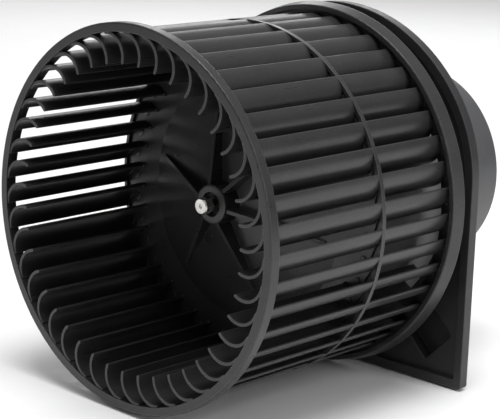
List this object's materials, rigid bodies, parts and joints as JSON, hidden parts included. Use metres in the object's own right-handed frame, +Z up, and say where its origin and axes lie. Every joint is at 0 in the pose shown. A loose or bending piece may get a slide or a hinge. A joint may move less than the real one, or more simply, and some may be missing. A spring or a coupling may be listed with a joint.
{
  "type": "heater blower",
  "caption": "Forward-curved fan wheel on the shaft of a brushed motor, held in a round flange with one square corner and a smooth motor cup behind.",
  "frame": {"origin": "on the shaft axis, in the plane of the flange's front rim, which seats against the fan housing", "axes": "+Y rearwards along the shaft, from the wheel's inlet to the motor cup; +Z up; +X to the flange's straight side"},
  "size_m": [0.1658, 0.1932, 0.1526],
  "materials": {
    "wheel_plastic": "satin, fine moulded grain",
    "flange_plastic": "satin moulded",
    "cup_plastic": "smooth satin moulded",
    "shroud_plastic": "smooth satin moulded",
    "shaft_steel": "ground",
    "can_steel": "zinc plated",
    "bearing_bronze": "sintered, oily",
    "spring_steel": "sprung",
    "laminations": "stamped",
    "copper": "enamelled wire",
    "ferrite": "sintered",
    "resin": "pressed",
    "carbon": "pressed",
    "brass_sheet": "stamped",
    "socket_nylon": "moulded",
    "screw_steel": "zinc plated",
    "capacitor_film": "dipped",
    "isolator_rubber": "soft"
  },
  "bodies": {
    "housing": {"mounting_flange": "flange_plastic", "motor_shroud": "shroud_plastic", "motor_cup": "cup_plastic", "motor_can": "can_steel", "end_bracket": "can_steel", "front_bearing": "bearing_bronze", "rear_bearing": "bearing_bronze", "bearing_retainers": "spring_steel", "field_magnets": "ferrite", "magnet_springs": "spring_steel", "brush_card": "resin", "carbon_brushes": "carbon", "brush_holders": "brass_sheet", "brush_springs": "spring_steel", "choke_windings": "copper", "choke_cores": "ferrite", "capacitor": "capacitor_film", "connector_socket": "socket_nylon", "connector_terminals": "brass_sheet", "cup_screws": "screw_steel", "rubber_isolators": "isolator_rubber"},
    "rotor": {"wheel_front_ring": "wheel_plastic", "wheel_blades": "wheel_plastic", "wheel_mid_band": "wheel_plastic", "wheel_hub": "wheel_plastic", "wheel_rear_ring": "wheel_plastic", "motor_shaft": "shaft_steel", "armature_core": "laminations", "armature_windings": "copper", "commutator_core": "resin", "commutator_bars": "copper", "thrust_washers": "resin"}
  },
  "joints": [
    {"name": "wheel_spin", "type": "hinge", "parent": "housing", "child": "rotor", "pos_m": [0, 0, 0], "axis": [0, 1, 0], "continuous": true}
  ]
}
